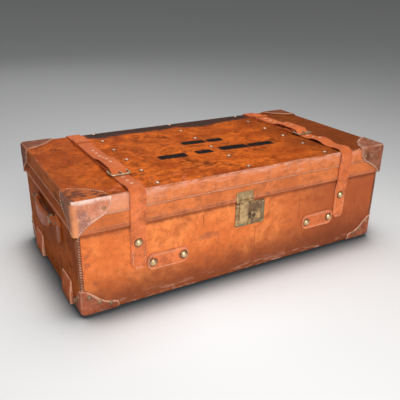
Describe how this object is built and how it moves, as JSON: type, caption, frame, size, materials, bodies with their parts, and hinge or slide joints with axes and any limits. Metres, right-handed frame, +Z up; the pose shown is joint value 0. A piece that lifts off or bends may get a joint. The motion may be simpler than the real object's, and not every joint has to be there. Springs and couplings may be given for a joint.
{
  "type": "leather trunk",
  "caption": "Low leather travelling trunk with a hinged overlapping lid, buckled straps, end handles, leather corner caps, brass studs and a brass hasp lock.",
  "frame": {"origin": "on the floor below the centre of the trunk", "axes": "+X along the trunk to the right seen from the front, +Y to the back, +Z up"},
  "size_m": [0.935, 0.4832, 0.3068],
  "materials": {
    "pine_board": "sawn, unfinished",
    "lining_cloth": "plain woven cloth, pasted down",
    "tan_leather": "waxed and worn, with dark stains",
    "dark_leather": "waxed, darkened by handling",
    "strap_leather": "dry bridle leather with creased edges",
    "cap_leather": "moulded, scuffed",
    "aged_brass": "tarnished, with brighter worn edges",
    "stud_brass": "polished by wear",
    "iron": "dark, oiled"
  },
  "bodies": {
    "base": {"base_side_boards": "pine_board", "base_end_boards": "pine_board", "base_bottom_board": "pine_board", "base_front_leather": "tan_leather", "base_rear_leather": "tan_leather", "base_end_leathers": "tan_leather", "base_bottom_leather": "dark_leather", "base_lining": "lining_cloth", "runners": "pine_board", "runner_caps": "dark_leather", "bottom_cap_front_left": "cap_leather", "bottom_cap_front_right": "cap_leather", "bottom_cap_rear_left": "cap_leather", "bottom_cap_rear_right": "cap_leather", "strap_anchors": "strap_leather", "rear_strap_anchors": "strap_leather", "front_tabs": "strap_leather", "dome_rivets": "aged_brass", "lock_plate": "aged_brass", "lock_case": "iron", "handle_chapes_left": "dark_leather", "handle_chapes_right": "dark_leather", "handle_pins": "aged_brass", "hinge_base_leaves": "iron", "hinge_pins": "iron"},
    "lid": {"lid_top_leather": "tan_leather", "lid_front_skirt": "tan_leather", "lid_rear_skirt": "tan_leather", "lid_end_skirts": "tan_leather", "lid_top_board": "pine_board", "lid_rails": "pine_board", "lid_lining": "lining_cloth", "lid_battens": "pine_board", "lid_studs": "stud_brass", "lid_cap_front_left": "cap_leather", "lid_cap_front_right": "cap_leather", "lid_cap_rear_left": "cap_leather", "lid_cap_rear_right": "cap_leather", "hasp_plate": "aged_brass", "hinge_lid_leaves": "iron", "rear_strap_left": "strap_leather", "rear_strap_right": "strap_leather", "buckle_frame_left": "aged_brass", "buckle_frame_right": "aged_brass", "strap_keepers": "strap_leather"},
    "nozzle": {"lock_nozzle": "aged_brass"},
    "hasp": {"hasp_tongue": "aged_brass"},
    "left_handle": {"handle_left": "dark_leather"},
    "right_handle": {"handle_right": "dark_leather"},
    "left_strap_drop": {"strap_drop_left": "strap_leather"},
    "right_strap_drop": {"strap_drop_right": "strap_leather"},
    "left_strap_span": {"strap_span_left": "strap_leather"},
    "right_strap_span": {"strap_span_right": "strap_leather"},
    "left_strap_tip": {"strap_tip_left": "strap_leather"},
    "right_strap_tip": {"strap_tip_right": "strap_leather"},
    "left_buckle_tongue": {"buckle_tongue_left": "aged_brass"},
    "right_buckle_tongue": {"buckle_tongue_right": "aged_brass"}
  },
  "joints": [
    {"name": "lid_hinge", "type": "hinge", "parent": "base", "child": "lid", "pos_m": [0, 0.238, 0.21], "axis": [-1, 0, 0], "range_deg": [0, 100], "deforming": ["strap_drop_left", "strap_drop_right", "strap_span_left", "strap_span_right", "strap_tip_left", "strap_tip_right"]},
    {"name": "hasp_hinge", "type": "hinge", "parent": "lid", "child": "hasp", "pos_m": [-0.02, -0.2362, 0.2088], "axis": [-1, 0, 0], "range_deg": [0, 170]},
    {"name": "lock_nozzle_slide", "type": "slide", "parent": "base", "child": "nozzle", "axis": [1, 0, 0], "range_m": [0, 0.01], "stiffness_N_per_m": 300},
    {"name": "left_handle_swing", "type": "hinge", "parent": "base", "child": "left_handle", "pos_m": [-0.455, 0, 0.19], "axis": [0, 1, 0], "range_deg": [0, 90]},
    {"name": "right_handle_swing", "type": "hinge", "parent": "base", "child": "right_handle", "pos_m": [0.455, 0, 0.19], "axis": [0, -1, 0], "range_deg": [0, 90]},
    {"name": "left_strap_drop_fold", "type": "hinge", "parent": "base", "child": "left_strap_drop", "pos_m": [-0.305, -0.2415, 0.205], "axis": [1, 0, 0], "range_deg": [0, 140]},
    {"name": "left_strap_edge_fold", "type": "hinge", "parent": "left_strap_drop", "child": "left_strap_span", "pos_m": [-0.305, -0.2347, 0.2897], "axis": [1, 0, 0], "range_deg": [0, 90]},
    {"name": "left_strap_tip_bend", "type": "hinge", "parent": "left_strap_span", "child": "left_strap_tip", "pos_m": [-0.305, -0.076, 0.304], "axis": [1, 0, 0], "range_deg": [-46, 0]},
    {"name": "left_buckle_tongue_swing", "type": "hinge", "parent": "lid", "child": "left_buckle_tongue", "pos_m": [-0.305, -0.111, 0.29645], "axis": [-1, 0, 0], "range_deg": [0, 95]},
    {"name": "right_strap_drop_fold", "type": "hinge", "parent": "base", "child": "right_strap_drop", "pos_m": [0.305, -0.2415, 0.205], "axis": [1, 0, 0], "range_deg": [0, 140]},
    {"name": "right_strap_edge_fold", "type": "hinge", "parent": "right_strap_drop", "child": "right_strap_span", "pos_m": [0.305, -0.2347, 0.2897], "axis": [1, 0, 0], "range_deg": [0, 90]},
    {"name": "right_strap_tip_bend", "type": "hinge", "parent": "right_strap_span", "child": "right_strap_tip", "pos_m": [0.305, -0.076, 0.292], "axis": [1, 0, 0], "range_deg": [-47.5, 0]},
    {"name": "right_buckle_tongue_swing", "type": "hinge", "parent": "lid", "child": "right_buckle_tongue", "pos_m": [0.305, -0.033, 0.29645], "axis": [-1, 0, 0], "range_deg": [0, 95]}
  ],
  "couplings": [
    {"joint": "left_strap_drop_fold", "follows": "lid_hinge", "ratio": 1.4},
    {"joint": "left_strap_edge_fold", "follows": "lid_hinge", "ratio": 0.9},
    {"joint": "left_strap_tip_bend", "follows": "lid_hinge", "ratio": -0.46},
    {"joint": "left_buckle_tongue_swing", "follows": "lid_hinge", "ratio": 0.95},
    {"joint": "right_strap_drop_fold", "follows": "lid_hinge", "ratio": 1.4},
    {"joint": "right_strap_edge_fold", "follows": "lid_hinge", "ratio": 0.9},
    {"joint": "right_strap_tip_bend", "follows": "lid_hinge", "ratio": -0.475},
    {"joint": "right_buckle_tongue_swing", "follows": "lid_hinge", "ratio": 0.95}
  ]
}
